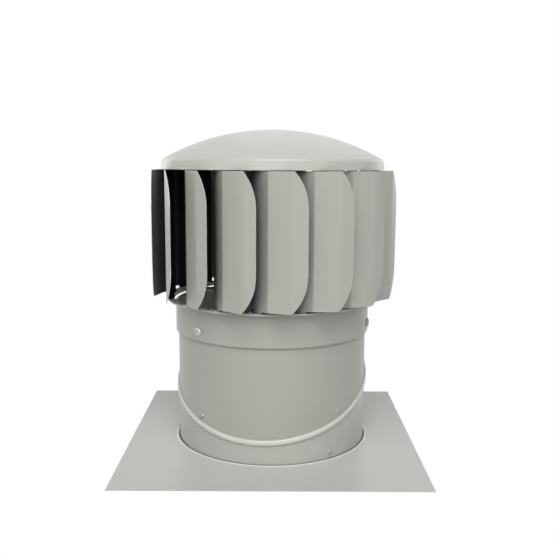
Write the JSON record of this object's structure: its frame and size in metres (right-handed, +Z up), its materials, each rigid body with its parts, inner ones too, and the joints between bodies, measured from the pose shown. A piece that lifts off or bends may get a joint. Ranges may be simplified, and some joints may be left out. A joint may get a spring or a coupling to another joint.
{
  "type": "roof turbine ventilator",
  "caption": "Wind-driven roof ventilator: a bladed rotor with a spun dome turns on ball bearings above a round neck whose sloping joint swivels to suit the roof's pitch.",
  "frame": {"origin": "centre of the flashing plate's underside; the rotor's upright axis stands 11.5 mm behind it, toward +Y", "axes": "+Z up along the rotor's spinning axis, which passes through X 0, Y 0.0115 m; -Y is the front, nearly the lowest side of the neck's sloping joint; X and Y run along the square plate's sides"},
  "size_m": [0.45, 0.45, 0.4926],
  "materials": {
    "powder_coat": "satin warm light-grey powder coat on sheet steel",
    "powder_coat_blades": "satin warm light-grey powder coat on aluminium sheet",
    "painted_rivet": "satin powder coat",
    "bare_rivet": "bright blind rivet",
    "bare_aluminium": "turned, uncoated",
    "zinc_plated_steel": "zinc plated",
    "ground_steel": "ground and polished"
  },
  "bodies": {
    "base": {"flashing_plate": "powder_coat", "lower_neck": "powder_coat", "foot_rivets": "painted_rivet"},
    "swivel_neck": {"upper_neck": "powder_coat", "swivel_clips": "zinc_plated_steel", "clip_rivets": "bare_rivet", "collar": "powder_coat", "collar_screws": "zinc_plated_steel", "collar_nuts": "zinc_plated_steel", "shaft_bracket": "zinc_plated_steel", "shaft": "ground_steel", "shaft_sleeve": "bare_aluminium", "shaft_washers": "zinc_plated_steel", "shaft_nuts": "zinc_plated_steel", "lower_inner_race": "ground_steel", "upper_inner_race": "ground_steel"},
    "rotor": {"lower_outer_race": "ground_steel", "upper_outer_race": "ground_steel", "lower_bearing_balls": "ground_steel", "upper_bearing_balls": "ground_steel", "lower_bearing_cage": "ground_steel", "upper_bearing_cage": "ground_steel", "lower_bearing_shields": "ground_steel", "upper_bearing_shields": "ground_steel", "lower_bearing_housing": "bare_aluminium", "upper_bearing_housing": "bare_aluminium", "lower_circlip": "ground_steel", "upper_circlip": "ground_steel", "lower_housing_rivets": "bare_rivet", "upper_housing_rivets": "bare_rivet", "rotor_spokes": "zinc_plated_steel", "spoke_rivets": "painted_rivet", "bottom_ring": "powder_coat", "blades": "powder_coat_blades", "lower_blade_rivets": "painted_rivet", "upper_blade_rivets": "painted_rivet", "top_disc": "powder_coat_blades", "dome": "powder_coat"}
  },
  "joints": [
    {"name": "neck_swivel", "type": "hinge", "parent": "base", "child": "swivel_neck", "pos_m": [0, 0.0115, 0.09977], "axis": [-0.0485, -0.407, 0.9121], "range_deg": [0, 180]},
    {"name": "rotor_spin", "type": "hinge", "parent": "swivel_neck", "child": "rotor", "pos_m": [0, 0.0115, 0.3], "axis": [0, 0, 1], "continuous": true}
  ]
}
